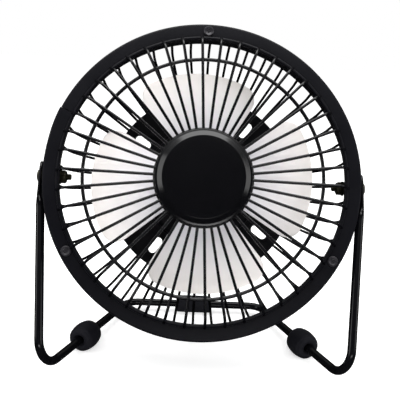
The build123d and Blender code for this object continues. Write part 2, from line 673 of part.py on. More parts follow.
def build_all():
    nut_back = NUT_X + NUT_THICK
    foot = front_foot()
    stand = {
        "stand_frame": stand_frame(),
        "foot_left": mirror(foot, about=Plane.YZ),
        "foot_right": foot,
        "foot_rear": rear_foot(),
    }
    head = {
        "ring_shell": ring_shell(),
        "front_wires": front_wires(),
        "front_middle_ring": wire_ring(MIDDLE_RING_R, FRONT_WIRE_Y + WIRE_R + RING_WIRE_R - WELD,
                                       RING_WIRE_R),
        "front_hub_ring": wire_ring(HUB_RING_R, FRONT_WIRE_Y + WIRE_R + RING_WIRE_R - WELD, RING_WIRE_R),
        "front_rim_ring": wire_ring(RIM_RING_R, RING_FRONT_Y - RING_WIRE_R, RING_WIRE_R),
        "front_cap": front_cap(),
        "guard_screws": on_screw_circle(guard_screw(), SCREW_CIRCLE_R),
        "guard_lugs": on_screw_circle(guard_lug(), 0),
        "rear_wires": rear_wires(),
        "rear_rim_ring": wire_ring(BASKET_WIRE_R + WIRE_R + BASKET_RIM_WIRE_R - WELD, BASKET_RIM_Y,
                                   BASKET_RIM_WIRE_R),
        "rear_disc": rear_disc(),
        "motor_housing": motor_housing(),
        "motor_can": motor_can(),
        "motor_magnets": motor_magnets(),
        "motor_end_cap": motor_end_cap(),
        "motor_screws": motor_screws(),
        "motor_brushes": motor_brushes(),
        "front_bush": shaft_bush(MOTOR_FRONT_Y - 2.0, MOTOR_FRONT_Y + 2.0),
        "rear_bush": shaft_bush(MOTOR_BACK_Y - END_CAP_INSIDE, MOTOR_BACK_Y + END_CAP_NOSE),
        "rear_cover": rear_cover(),
        "cover_screws": on_cover_screws(cover_screw()),
        "switch_body": switch_place(switch_body()),
        "lead_wires": lead_wires(),
        "cord_grommet": cord_grommet(),
        "pivot_bolts": both_sides(pivot_bolt()),
        "pivot_spacers": both_sides(pivot_spacer()),
        "pivot_bushes": both_sides(pivot_bush()),
        "pivot_washers": both_sides(washer(nut_back, nut_back + WASHER_THICK)),
        "pivot_nuts": both_sides(pivot_nut()),
    }
    turning = {
        "motor_shaft": motor_shaft(),
        "armature_core": armature_core(),
        "armature_windings": armature_windings(),
        "commutator": tube_between(COMMUTATOR_R, SHAFT_R, COMMUTATOR_Y, COMMUTATOR_Y + COMMUTATOR_LENGTH),
        "blade_wheel": blade_wheel(),
        "blade_boss": blade_boss(),
        "switch_rocker": switch_place(switch_rocker()),
    }
    pieces = dict(stand)
    for name, part in {**head, **turning}.items():
        pieces[name] = place_head(part)
    return pieces


os.makedirs("parts", exist_ok=True)
for node, solid in build_all().items():
    export_step(solid, f"parts/{node}.step")
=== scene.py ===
import json
from math import atan2, cos, pi, radians, sin, sqrt, tan, tau
from random import Random

import bmesh
import bpy
from mathutils import Matrix, Vector


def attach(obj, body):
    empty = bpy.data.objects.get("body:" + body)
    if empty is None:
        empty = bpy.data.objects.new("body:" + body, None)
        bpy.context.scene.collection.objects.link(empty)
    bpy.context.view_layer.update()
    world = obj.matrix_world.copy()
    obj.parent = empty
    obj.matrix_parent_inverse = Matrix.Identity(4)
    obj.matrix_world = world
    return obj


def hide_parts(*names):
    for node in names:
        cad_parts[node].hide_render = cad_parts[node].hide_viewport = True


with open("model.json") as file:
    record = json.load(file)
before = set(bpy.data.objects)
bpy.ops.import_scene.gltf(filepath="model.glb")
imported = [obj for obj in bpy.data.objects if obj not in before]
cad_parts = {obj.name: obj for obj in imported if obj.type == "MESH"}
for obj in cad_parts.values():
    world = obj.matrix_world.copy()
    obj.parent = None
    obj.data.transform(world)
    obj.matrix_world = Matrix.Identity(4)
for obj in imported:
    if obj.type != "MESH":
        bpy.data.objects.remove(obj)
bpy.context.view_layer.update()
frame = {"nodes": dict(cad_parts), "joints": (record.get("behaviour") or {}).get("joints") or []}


# Camera: an ordinary lens close in front of the fan and a little above its middle.
# It looks slightly down, is turned a touch to the right and is held a little crooked.
camera_data = bpy.data.cameras.new("camera")
camera_data.lens = 54
camera_data.sensor_width = 36
camera_data.clip_start = 0.01
camera = bpy.data.objects.new("camera", camera_data)
bpy.context.scene.collection.objects.link(camera)
joint = {one["name"]: one for one in frame["joints"]}
pivot = Vector(joint["head_tilt"]["pos_m"])
look_down = radians(14.1)
turn_right = radians(1.67)
crooked = radians(2.8)
camera.matrix_world = (
    Matrix.Translation(pivot + Vector((-0.0086, -0.2745, 0.0606)))
    @ Matrix.Rotation(-turn_right, 4, "Z")
    @ Matrix.Rotation(pi / 2 - look_down, 4, "X")
    @ Matrix.Rotation(crooked, 4, "Z")
)
bpy.context.scene.camera = camera


# The stand is one 4 mm steel rod in gloss black enamel: two legs, two side bars and a rear bar.
# It is bent cold round formers, and both ends are pressed flat and punched for the pivot bolts.
rod_r = 0.002
plate_x = 0.0747
leg_top_x = 0.0752
corner = pivot + Vector((0.0682, -0.0392, -0.0790))
rear_end = pivot + Vector((0.0378, 0.0478, -0.0825))
down_leg = Vector((0, corner.y - pivot.y, corner.z - pivot.z))
leg_length = down_leg.length
down_leg.normalize()
flat_tip = 0.007
flat_half_width = 0.004
flat_half_thick = 0.0007
flat_ends_at = 0.015
round_from = 0.021
rod_rows = 190
rod_sides = 28


def bent_line(corners, bend_radii, steps=14):
    """Points along straight runs that are joined by round bends."""
    points = [corners[0]]
    for before, bend, after, radius in zip(corners, corners[1:], corners[2:], bend_radii):
        back = (before - bend).normalized()
        onward = (after - bend).normalized()
        turn = pi - back.angle(onward)
        centre = bend + (back + onward).normalized() * radius / cos(turn / 2)
        start = bend + back * radius * tan(turn / 2) - centre
        axis = back.cross(onward).normalized()
        for k in range(steps + 1):
            points.append(centre + Matrix.Rotation(-turn * k / steps, 3, axis) @ start)
    points.append(corners[-1])
    return points


def spaced(points, distances):
    """The places at these distances along a line of points."""
    places = []
    walked = 0.0
    k = 0
    for distance in distances:
        while k < len(points) - 2 and walked + (points[k + 1] - points[k]).length < distance:
            walked += (points[k + 1] - points[k]).length
            k += 1
        step = points[k + 1] - points[k]
        places.append(points[k] + step * min(1.0, (distance - walked) / step.length))
    return places


def line_length(points):
    return sum((b - a).length for a, b in zip(points, points[1:]))


def skin_along(mesh, points, sections, normal=None, closed=False):
    """Skins a line of points with one section, a list of (u, v) pairs, at each of them."""
    rows = []
    count = len(points)
    for k, (point, section) in enumerate(zip(points, sections)):
        before = points[k - 1] if k or closed else point
        after = points[(k + 1) % count] if k + 1 < count or closed else point
        along = (after - before).normalized()
        normal = normal or along.orthogonal()
        normal = (normal - along * normal.dot(along)).normalized()
        side = along.cross(normal)
        rows.append([mesh.verts.new(point + normal * u + side * v) for u, v in section])
    for row, following in zip(rows, rows[1:] + rows[:1] if closed else rows[1:]):
        for j in range(len(row)):
            mesh.faces.new((row[j - 1], row[j], following[j], following[j - 1]))
    if not closed:
        mesh.faces.new(rows[0])
        mesh.faces.new(rows[-1])


def oval(half_u, half_v, squareness=2.0, sides=20):
    """A section that goes from an ellipse to a rounded rectangle as squareness grows."""
    power = 2 / squareness
    pairs = []
    for k in range(sides):
        c, s = cos(tau * (k + 0.5) / sides), sin(tau * (k + 0.5) / sides)
        u = half_u * abs(c) ** power * (1 if c > 0 else -1)
        v = half_v * abs(s) ** power * (1 if s > 0 else -1)
        pairs.append((u, v))
    return pairs


def ease(value, start, end):
    share = min(1.0, max(0.0, (value - start) / (end - start)))
    return share * share * (3 - 2 * share)


def mixed(a, b, share):
    return a + (b - a) * share


def to_object(name, mesh, place=Matrix.Identity(4), sharp=radians(32)):
    """Closes up a bmesh into an object, smooth except along its hard edges."""
    bmesh.ops.remove_doubles(mesh, verts=mesh.verts, dist=1e-7)
    bmesh.ops.recalc_face_normals(mesh, faces=mesh.faces)
    for face in mesh.faces:
        face.smooth = True
    for edge in mesh.edges:
        edge.smooth = edge.calc_face_angle(0) < sharp
    data = bpy.data.meshes.new(name)
    mesh.to_mesh(data)
    mesh.free()
    data.transform(place)
    piece = bpy.data.objects.new(name, data)
    bpy.context.scene.collection.objects.link(piece)
    return piece


def settle(piece):
    """Turns a piece and its modifiers into a plain mesh."""
    bpy.context.view_layer.update()
    seen = piece.evaluated_get(bpy.context.evaluated_depsgraph_get())
    data = bpy.data.meshes.new_from_object(seen)
    piece.modifiers.clear()
    piece.data = data
    return piece


def cut_with(piece, cutter):
    """Takes the cutter's shape out of the piece, and throws the cutter away."""
    boolean = piece.modifiers.new("cut", "BOOLEAN")
    boolean.operation = "DIFFERENCE"
    boolean.solver = "EXACT"
    boolean.object = cutter
    settle(piece)
    bpy.data.objects.remove(cutter)
    hard_edges(piece)
    return piece


def hard_edges(piece, sharp=radians(32)):
    mesh = bmesh.new()
    mesh.from_mesh(piece.data)
    for face in mesh.faces:
        face.smooth = True
    for edge in mesh.edges:
        edge.smooth = edge.calc_face_angle(0) < sharp
    mesh.to_mesh(piece.data)
    mesh.free()


def round_bar(mesh, start, end, radius, sides=32):
    skin_along(mesh, [start, end], [oval(radius, radius, sides=sides)] * 2)


def coating(name, tones, roughness, grain, relief, metallic=0.0, gloss=0.5, patches=45.0):
    """A finish whose tone and roughness drift over the surface, with a fine grain in relief."""
    finish = bpy.data.materials.new(name)
    finish.use_nodes = True
    nodes, links = finish.node_tree.nodes, finish.node_tree.links
    shader = nodes["Principled BSDF"]
    shader.inputs["Metallic"].default_value = metallic
    shader.inputs["Specular IOR Level"].default_value = gloss
    place = nodes.new("ShaderNodeTexCoord")
    drift = nodes.new("ShaderNodeTexNoise")
    drift.inputs["Scale"].default_value = patches
    drift.inputs["Detail"].default_value = 4.0
    links.new(place.outputs["Object"], drift.inputs["Vector"])
    tone = nodes.new("ShaderNodeMix")
    tone.data_type = "RGBA"
    tone.inputs["A"].default_value = (*tones[0], 1)
    tone.inputs["B"].default_value = (*tones[1], 1)
    links.new(drift.outputs["Fac"], tone.inputs["Factor"])
    links.new(tone.outputs["Result"], shader.inputs["Base Color"])
    polish = nodes.new("ShaderNodeMapRange")
    polish.inputs["From Min"].default_value = 0.3
    polish.inputs["From Max"].default_value = 0.7
    polish.inputs["To Min"].default_value = roughness[0]
    polish.inputs["To Max"].default_value = roughness[1]
    links.new(drift.outputs["Fac"], polish.inputs["Value"])
    links.new(polish.outputs["Result"], shader.inputs["Roughness"])
    pores = nodes.new("ShaderNodeTexNoise")
    pores.inputs["Scale"].default_value = grain
    pores.inputs["Detail"].default_value = 2.0
    links.new(place.outputs["Object"], pores.inputs["Vector"])
    bump = nodes.new("ShaderNodeBump")
    bump.inputs["Distance"].default_value = relief
    bump.inputs["Strength"].default_value = 1.0
    links.new(pores.outputs["Fac"], bump.inputs["Height"])
    links.new(bump.outputs["Normal"], shader.inputs["Normal"])
    return finish


def fit(piece, body, slot, finish, *nodes):
    """Gives a piece its finish and body, and hides the CAD nodes that it stands for."""
    piece.data.materials.clear()
    piece.data.materials.append(finish)
    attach(piece, body)
    if nodes:
        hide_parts(*nodes)
    return piece


def leg_point(distance):
    across = mixed(leg_top_x, corner.x, distance / leg_length)
    return Vector((across, pivot.y, pivot.z)) + down_leg * distance


hinge_point = Vector((plate_x, pivot.y, pivot.z))
rod_line = bent_line(
    [hinge_point - down_leg * flat_tip, hinge_point + down_leg * 0.009, leg_point(0.014), corner,
     rear_end, Vector((0, rear_end.y, rear_end.z))],
    [0.012, 0.012, 0.010, 0.009])
rod_length = line_length(rod_line)
tip_steps = [0.00002 + flat_half_width * (1 - cos(pi / 2 * k / 8)) for k in range(8)]
beyond_tip = rod_length - flat_half_width
rod_steps = tip_steps + [flat_half_width + beyond_tip * k / rod_rows for k in range(rod_rows + 1)]
sections = []
for distance in rod_steps:
    flatness = 1 - ease(distance, flat_ends_at, round_from)
    width = mixed(rod_r, flat_half_width, flatness)
    if distance < flat_half_width:
        width = sqrt(flat_half_width ** 2 - (flat_half_width - distance) ** 2)
    thick = mixed(rod_r, flat_half_thick, flatness)
    sections.append(oval(thick, width, mixed(2, 5, flatness), rod_sides))
mesh = bmesh.new()
skin_along(mesh, spaced(rod_line, rod_steps), sections, normal=Vector((1, 0, 0)))
stand_rod = to_object("stand_rod", mesh)
punch = bmesh.new()
bolt_hole_r = 0.00155
through = Vector((0.003, 0, 0))
round_bar(punch, hinge_point - through, hinge_point + through, bolt_hole_r)
cut_with(stand_rod, to_object("punch", punch))
mesh = bmesh.new()
mesh.from_mesh(stand_rod.data)
open_end = [face for face in mesh.faces if all(abs(vert.co.x) < 1e-6 for vert in face.verts)]
bmesh.ops.delete(mesh, geom=open_end, context="FACES")
half_rod = mesh.verts[:] + mesh.edges[:] + mesh.faces[:]
bmesh.ops.mirror(mesh, geom=half_rod, axis="X", merge_dist=1e-6)
bpy.data.objects.remove(stand_rod)
stand_rod = to_object("stand_rod", mesh)
enamel = coating(
    "gloss_enamel", ((0.0016, 0.0016, 0.0022), (0.0024, 0.0024, 0.0032)), (0.12, 0.18),
    grain=900, relief=0.000004, gloss=0.3)
fit(stand_rod, "stand", "rod_black", enamel, "stand_frame")


# Two rubber barrels ride on the side bars and a plain sleeve on the rear bar.
# They are moulded soft and matte, pushed on before bending, and worn flat where they rest.
foot_at = 0.455
foot_r = 0.0068
foot_end_r = 0.0056
foot_half = 0.0065
foot_rounding = 0.0016
sleeve_r = 0.00485
sleeve_half = 0.010
sleeve_rounding = 0.0011


def turned(mesh, outline, steps=96, start=0.0, sweep=tau, swell=None):
    """Turns a closed outline of (radius, depth) points about Y, anticlockwise from +X to +Z."""
    whole = sweep > tau - 1e-9
    rows = []
    for k in range(steps if whole else steps + 1):
        angle = start + sweep * k / steps
        row = []
        for j, (radius, depth) in enumerate(outline):
            reach = swell(angle, radius, depth) if swell else radius
            if reach < 1e-7 and rows:
                row.append(rows[0][j])
            else:
                row.append(mesh.verts.new((reach * cos(angle), depth, reach * sin(angle))))
        rows.append(row)
    for row, following in zip(rows, rows[1:] + rows[:1] if whole else rows[1:]):
        for j in range(len(outline)):
            around = [row[j - 1], row[j], following[j], following[j - 1]]
            distinct = [vert for n, vert in enumerate(around) if vert not in around[:n]]
            if len(distinct) > 2:
                mesh.faces.new(distinct)
    if not whole:
        mesh.faces.new(rows[0])
        mesh.faces.new(rows[-1])


def eased(outline, steps=5):
    """A closed outline of (radius, depth, rounding) corners, with each rounding drawn in."""
    points = []
    for k, (radius, depth, rounding) in enumerate(outline):
        bend = Vector((radius, depth, 0))
        if not rounding:
            points.append((radius, depth))
            continue
        before = Vector((*outline[k - 1][:2], 0))
        after = Vector((*outline[(k + 1) % len(outline)][:2], 0))
        arc = bent_line([before, bend, after], [rounding], steps)[1:-1]
        points += [(point.x, point.y) for point in arc]
    return points


def foot_outline(half, middle_r, end_r, rounding):
    """A barrel's side as a shallow curve between rounded ends, with a lip round the bore."""
    side = [(middle_r - (middle_r - end_r) * (y / half) ** 2, y)
            for y in (half * (1 - rounding / half) * (2 * k / 12 - 1) for k in range(13))]
    shoulder = [(end_r - rounding * (1 - sin(a)), half - rounding * (1 - cos(a)))
                for a in (pi / 2 * k / 6 for k in range(6, -1, -1))]
    lip = [(rod_r + 0.0011, half), (rod_r + 0.0005, half - 0.0006), (rod_r, half - 0.0011)]
    top = shoulder[1:] + lip
    bottom = [(r, -y) for r, y in reversed(top)]
    return bottom + side + top


def along_bar(middle, direction):
    return Matrix.Translation(middle) @ direction.to_track_quat("Y", "Z").to_matrix().to_4x4()


def worn_flat(piece):
    for vert in piece.data.vertices:
        vert.co.z = max(0.0, vert.co.z)
    return piece


rubber = coating(
    "foot_rubber", ((0.0055, 0.0055, 0.0085), (0.0085, 0.0085, 0.0125)), (0.60, 0.74),
    grain=2600, relief=0.00003, gloss=0.2, patches=160)
side_bar = rear_end - corner
for side, name in ((1, "foot_right"), (-1, "foot_left")):
    mesh = bmesh.new()
    turned(mesh, foot_outline(foot_half, foot_r, foot_end_r, foot_rounding), steps=64)
    middle = corner + side_bar * foot_at
    mirror = Matrix.Scale(side, 4, Vector((1, 0, 0)))
    foot = to_object(f"{name}_barrel", mesh, mirror @ along_bar(middle, side_bar))
    if side < 0:
        foot.data.flip_normals()
    fit(worn_flat(foot), "stand", "foot_rubber", rubber, name)
mesh = bmesh.new()
turned(mesh, foot_outline(sleeve_half, sleeve_r, sleeve_r - 0.00015, sleeve_rounding), steps=64)
rear_middle = Vector((0, rear_end.y, rear_end.z))
foot = to_object("foot_rear_sleeve", mesh, along_bar(rear_middle, Vector((1, 0, 0))))
fit(worn_flat(foot), "stand", "foot_rubber", rubber, "foot_rear")


# The ring is a strip of 0.8 mm steel rolled into a hoop, its front edge flanged inwards.
# It is powder coated, and its two ends meet in a butt seam where one end sits slightly proud.
blow = Vector(joint["blade_spin"]["axis"])
lean = atan2(blow.z, -blow.y)
head_place = Matrix.Translation(pivot) @ Matrix.Rotation(-lean, 4, "X")
sheet = 0.0008
ring_r = 0.072
flange_inner_r = 0.064
flange_y = -0.012
ring_back_y = 0.013
seam_angle = radians(155)
seam_gap = radians(0.24)
seam_step = 0.00042
seam_fades_over = radians(16)


def ring_swell(angle, radius, depth):
    """The end on the far side of the seam is rolled a little larger and comes down to size."""
    past = (angle - seam_angle - seam_gap / 2) / seam_fades_over
    return radius + seam_step * (1 - ease(past, 0, 1))


ring_outline = eased([
    (flange_inner_r, flange_y, 0.0003), (ring_r, flange_y, 0.0010), (ring_r, ring_back_y, 0.0003),
    (ring_r - sheet, ring_back_y, 0.0003), (ring_r - sheet, flange_y + sheet, 0.0003),
    (flange_inner_r, flange_y + sheet, 0.0003)], 8)
mesh = bmesh.new()
turned(mesh, ring_outline, 288, seam_angle + seam_gap / 2, tau - seam_gap, ring_swell)
powder_coat = coating(
    "powder_coat", ((0.0014, 0.0014, 0.0028), (0.0022, 0.0022, 0.0042)), (0.40, 0.48),
    grain=2200, relief=0.000014, gloss=0.17, patches=70)
ring = to_object("ring", mesh, head_place)
fit(ring, "head", "shell_black", powder_coat, "ring_shell")


# Three rims of round wire carry the front guard: at the hub, in the middle and on the flange.
# Each is bent into a circle and butt welded, and the welds are dipped with the rest in black.
front_y = -0.0208
wire_r = 0.00065
rim_wire_r = 0.0008
weld_sink = 0.00015
rim_y = front_y + wire_r + rim_wire_r - weld_sink
hub_hoop_r = 0.0214
middle_hoop_r = 0.0527
rim_hoop_r = 0.0649
under_flange_y = flange_y - rim_wire_r


def at_head(radius, angle, depth):
    return Vector((radius * cos(angle), depth, radius * sin(angle)))


def hoop(mesh, radius, depth, thick, joint_angle, steps=192):
    """A closed wire circle with a slight swelling where its ends are welded."""
    places = [at_head(radius, joint_angle + tau * k / steps, depth) for k in range(steps)]
    swell = [1 + 0.22 * max(0.0, 1 - min(k, steps - k) / 2.5) for k in range(steps)]
    skin_along(mesh, places, [oval(thick * s, thick * s, sides=14) for s in swell], closed=True)


wire_coat = coating(
    "coated_wire", ((0.0012, 0.0012, 0.0018), (0.0018, 0.0018, 0.0026)), (0.15, 0.20),
    grain=1500, relief=0.000004, gloss=0.42, patches=90)
for name, node, radius, depth, weld_degrees, finish in (
        ("guard_hub_hoop", "front_hub_ring", hub_hoop_r, rim_y, 20, wire_coat),
        ("guard_middle_hoop", "front_middle_ring", middle_hoop_r, rim_y, 248, wire_coat),
        ("guard_rim_hoop", "front_rim_ring", rim_hoop_r, under_flange_y, 318, powder_coat)):
    mesh = bmesh.new()
    hoop(mesh, radius, depth, rim_wire_r, radians(weld_degrees))
    fit(to_object(name, mesh, head_place), "head", "wire_black", finish, node)


# Forty-six straight wires fan out over the rims, turn back at the edge and end on the flange.
# They are spot welded, so a small nub of melted steel sits beside every crossing.
wire_count = 46
pitch = tau / wire_count
first_wire = radians(88.8)
guard_start_r = 0.0206
guard_bend_r = 0.0613
guard_tip_r = 0.0659
guard_end_y = -0.0127
guard_bends = [0.0032, 0.0008]
hook_reach = 0.0006
hook_y = flange_y - 2 * rim_wire_r - 0.0002
guard_random = Random(11)


def wire(mesh, points, radius, sides=12):
    """A round wire with domed ends."""
    length = line_length(points)
    ends = [0.03, 0.15, 0.45, 1.0]
    inner = [d for d in walked_along(points) if radius * 1.2 < d < length - radius * 1.2]
    distances = [e * radius for e in ends] + inner + [length - e * radius for e in reversed(ends)]
    sections = []
    for d in distances:
        near = min(1.0, min(d, length - d) / radius)
        reach = radius * sqrt(1 - (1 - near) ** 2)
        sections.append(oval(reach, reach, sides=sides))
    skin_along(mesh, spaced(points, distances), sections)


def walked_along(points):
    distances = [0.0]
    for a, b in zip(points, points[1:]):
        distances.append(distances[-1] + (b - a).length)
    return distances


def nub(mesh, centre, long_way, size, squat):
    """A small lens of weld metal."""
    turn = long_way.to_track_quat("X", "Y").to_matrix().to_4x4()
    stretch = Matrix.Diagonal((size * squat, size, size, 1))
    bmesh.ops.create_icosphere(mesh, subdivisions=2, radius=1.0,
                               matrix=Matrix.Translation(centre) @ turn @ stretch)


mesh = bmesh.new()
for k in range(wire_count):
    angle = first_wire + (k + 0.5) * pitch + radians(guard_random.uniform(-0.12, 0.12))
    tip = guard_tip_r + guard_random.uniform(-0.00015, 0.00015)
    line = bent_line(
        [at_head(guard_start_r, angle, front_y), at_head(guard_bend_r, angle, front_y),
         at_head(tip - hook_reach, angle, hook_y), at_head(tip, angle, guard_end_y)],
        guard_bends, 10)
    wire(mesh, line, wire_r)
    for radius in (hub_hoop_r, middle_hoop_r):
        for way in (-1, 1):
            beside = angle + way * 0.0006 / radius
            weld = at_head(radius, beside, front_y + 0.0005)
            nub(mesh, weld, at_head(1, angle, 0), 0.0004, 1.7)
guard_wires = to_object("guard_wires", mesh, head_place)
fit(guard_wires, "head", "wire_black", wire_coat, "front_wires")


# A pressed steel cap closes the middle of the guard, spot welded to the hub rim from behind.
# Its flat face drops by a crisp edge to a sloping shoulder and a narrow turned-out lip.
cap_back = front_y - wire_r + 0.00005
cap_face = cap_back - 0.0024
cap_sheet = 0.0006
dish = [(0.0176 * k / 7, cap_face - 0.00015 * (1 - (k / 7) ** 2)) for k in range(7)]
shoulder = eased([
    (0.0, cap_face, 0), (0.0181, cap_face, 0.0005), (0.0203, cap_back - 0.0009, 0.0006),
    (0.0213, cap_back - cap_sheet - 0.0001, 0.00024), (0.0213, cap_back, 0.00024),
    (0.0200, cap_back, 0.0004), (0.0176, cap_face + cap_sheet, 0.0004),
    (0.0, cap_face + cap_sheet, 0)], 6)
mesh = bmesh.new()
turned(mesh, dish + shoulder[1:], 144)
cap_paint = coating(
    "cap_paint", ((0.0010, 0.0010, 0.0015), (0.0016, 0.0016, 0.0023)), (0.16, 0.21),
    grain=2000, relief=0.000005, gloss=0.4, patches=60)
fit(to_object("cap", mesh, head_place), "head", "shell_black", cap_paint, "front_cap")


# Three short screws through the flange hold guard, ring and basket together.
# They are black round-head screws with a shallow dished face and a cross recess.
screw_circle_r = 0.0684
screw_angles = [radians(a) for a in (90, 210, 330)]
screw_shank_r = 0.00125
screw_steel = coating(
    "blackened_screw", ((0.014, 0.013, 0.016), (0.026, 0.025, 0.030)), (0.28, 0.38),
    grain=1800, relief=0.000008, metallic=0.3, gloss=0.5, patches=300)


def screw(name, head_outline, shank_r, shank_end, recess_y, recess_size, place):
    """A round-head screw along Y, with the cross that a driver fits cut into its head."""
    mesh = bmesh.new()
    shank = [(shank_r, head_outline[-1][1]), (shank_r, shank_end), (0, shank_end)]
    turned(mesh, head_outline + shank, 40)
    piece = to_object(name, mesh)
    for turn in (0, pi / 2):
        slot = bmesh.new()
        across = Matrix.Translation((0, recess_y, 0)) @ Matrix.Rotation(turn, 4, "Y")
        stretch = Matrix.Diagonal((recess_size, recess_size * 0.5, recess_size * 0.26, 1))
        bmesh.ops.create_cube(slot, size=1.0, matrix=across @ stretch)
        cut_with(piece, to_object("driver", slot))
    piece.data.transform(place)
    return piece


def joined(name, pieces):
    """One object from several, in the first one's place."""
    mesh = bmesh.new()
    for piece in pieces:
        mesh.from_mesh(piece.data)
        bpy.data.objects.remove(piece)
    return to_object(name, mesh)


head_heights = [(0, 0.00045), (0.0008, 0.0005), (0.0014, 0.0007), (0.0017, 0.00088),
                (0.0020, 0.00088), (0.00224, 0.0007), (0.00235, 0.0004), (0.00235, 0)]
flange_head = [(radius, flange_y - height) for radius, height in head_heights]
screws = []
for angle in screw_angles:
    twist = Matrix.Rotation(0.7 + angle * 1.7, 4, "Y")
    place = head_place @ Matrix.Translation(at_head(screw_circle_r, angle, 0)) @ twist
    screws.append(screw("screw", flange_head, screw_shank_r, -0.0099, flange_y - 0.0006,
                        0.0021, place))
fit(joined("flange_screws", screws), "head", "screw_black", screw_steel, "guard_screws")


# The rear basket is wire too, half a pitch out of step with the front guard.
# Each wire runs out from the disc, turns forward inside the ring and ends on a thick rim hoop.
disc_y = 0.020
basket_y = disc_y + sheet + wire_r - 0.00005
basket_r = 0.0684
basket_rim_y = -0.00865
basket_rim_wire_r = 0.001
basket_start_r = 0.0435
basket_bend_r = 0.008
mesh = bmesh.new()
for k in range(wire_count):
    angle = first_wire + k * pitch + radians(guard_random.uniform(-0.1, 0.1))
    line = bent_line(
        [at_head(basket_start_r, angle, basket_y), at_head(basket_r, angle, basket_y),
         at_head(basket_r, angle, basket_rim_y)], [basket_bend_r], 18)
    wire(mesh, line, wire_r)
    nub(mesh, at_head(0.0452, angle, basket_y - 0.0003), at_head(1, angle, 0), 0.0008, 1.5)
fit(to_object("basket_wires", mesh, head_place), "head", "wire_black", wire_coat, "rear_wires")
mesh = bmesh.new()
basket_hoop_r = basket_r + wire_r + basket_rim_wire_r - weld_sink
hoop(mesh, basket_hoop_r, basket_rim_y, basket_rim_wire_r, radians(70))
basket_hoop = to_object("basket_rim_hoop", mesh, head_place)
fit(basket_hoop, "head", "wire_black", wire_coat, "rear_rim_ring")


# A flat pressed disc carries the motor in the middle of the basket.
# Eight oblong slots are punched through it for air, and every cut edge is slightly rounded.
disc_r = 0.0465
disc_hole_r = 0.019
slot_circle_r = 0.0367
slot_length = 0.0085
slot_width = 0.004
slot_count = 8
first_slot = radians(9.3)
cover_screw_r = 0.023
cover_screw_angles = [radians(a) for a in (30, 150, 270)]
edge_round = 0.00018


def loop_spline(curve, points):
    spline = curve.splines.new("POLY")
    spline.points.add(len(points) - 1)
    for point, (x, y) in zip(spline.points, points):
        point.co = (x, y, 0, 1)
    spline.use_cyclic_u = True


def circle_points(radius, count, x=0.0, y=0.0):
    angles = [tau * k / count for k in range(count)]
    return [(x + radius * cos(angle), y + radius * sin(angle)) for angle in angles]


def oblong(middle_r, angle, length, width):
    """A slot with round ends, lying along its own radius."""
    straight = (length - width) / 2
    points = []
    for end in (1, -1):
        for k in range(13):
            a = -pi / 2 + pi * k / 12
            u = middle_r + end * (straight + width / 2 * cos(a))
            v = end * width / 2 * sin(a)
            points.append((u * cos(angle) - v * sin(angle), u * sin(angle) + v * cos(angle)))
    return points


punched = bpy.data.curves.new("basket_disc", "CURVE")
punched.dimensions = "2D"
punched.fill_mode = "BOTH"
punched.extrude = sheet / 2 - edge_round
punched.bevel_depth = edge_round
punched.bevel_resolution = 2
punched.offset = -edge_round
loop_spline(punched, circle_points(disc_r, 144))
loop_spline(punched, circle_points(disc_hole_r, 72))
for k in range(slot_count):
    angle = first_slot + k * tau / slot_count
    loop_spline(punched, oblong(slot_circle_r, angle, slot_length, slot_width))
for angle in cover_screw_angles:
    x, y = cover_screw_r * cos(angle), cover_screw_r * sin(angle)
    loop_spline(punched, circle_points(0.00135, 24, x, y))
disc = bpy.data.objects.new("basket_disc", punched)
bpy.context.scene.collection.objects.link(disc)
depsgraph = bpy.context.evaluated_depsgraph_get()
flat_disc = bpy.data.meshes.new_from_object(disc.evaluated_get(depsgraph))
bpy.data.objects.remove(disc)
mesh = bmesh.new()
mesh.from_mesh(flat_disc)
upright = Matrix.Translation((0, disc_y + sheet / 2, 0)) @ Matrix.Rotation(pi / 2, 4, "X")
disc = to_object("basket_disc", mesh, head_place @ upright)
fit(disc, "head", "shell_black", powder_coat, "rear_disc")


# The motor sits in a shallow pressed cup in front of the disc, behind the blades.
# Its edge is well rounded, a step is pressed round the nose hole, and two screws hold the motor.
housing_r = 0.028
housing_y = 0.008
housing_flange_r = 0.031
nose_hole_r = 0.0033
step_r = 0.0135
step_up = 0.0005
face_y = housing_y - step_up
inside_y = housing_y + sheet
cup_outline = eased([
    (nose_hole_r, housing_y, 0.0002), (step_r, housing_y, 0.0005),
    (step_r + 0.0012, face_y, 0.0005), (housing_r, face_y, 0.0026),
    (housing_r, disc_y - sheet, 0.0005), (housing_flange_r, disc_y - sheet, 0.0002),
    (housing_flange_r, disc_y, 0.0002), (housing_r - sheet, disc_y, 0.0002),
    (housing_r - sheet, face_y + sheet, 0.0017), (step_r + 0.0016, face_y + sheet, 0.0004),
    (step_r + 0.0004, inside_y, 0.0004), (nose_hole_r, inside_y, 0.0002)], 5)
mesh = bmesh.new()
turned(mesh, cup_outline, 120)
fit(to_object("motor_cup", mesh, head_place), "head", "shell_black", powder_coat, "motor_housing")
zinc = coating(
    "yellow_zinc", ((0.030, 0.028, 0.018), (0.055, 0.050, 0.032)), (0.32, 0.46),
    grain=1600, relief=0.00001, metallic=0.85, gloss=0.5, patches=420)
head_heights = [(0, 0.0012), (0.0011, 0.00116), (0.0018, 0.0009), (0.0022, 0.0004), (0.0022, 0)]
motor_head = [(radius, housing_y - height) for radius, height in head_heights]
motor_screw_r = 0.009
screws = []
for side in (-1, 1):
    turn = Matrix.Rotation(0.5 * side, 4, "Y")
    place = head_place @ Matrix.Translation((side * motor_screw_r, 0, 0)) @ turn
    screws.append(screw("screw", motor_head, screw_shank_r, housing_y + 0.0016,
                        housing_y - 0.0011, 0.0022, place))
fit(joined("motor_cup_screws", screws), "head", "bolt_zinc", zinc, "motor_screws")


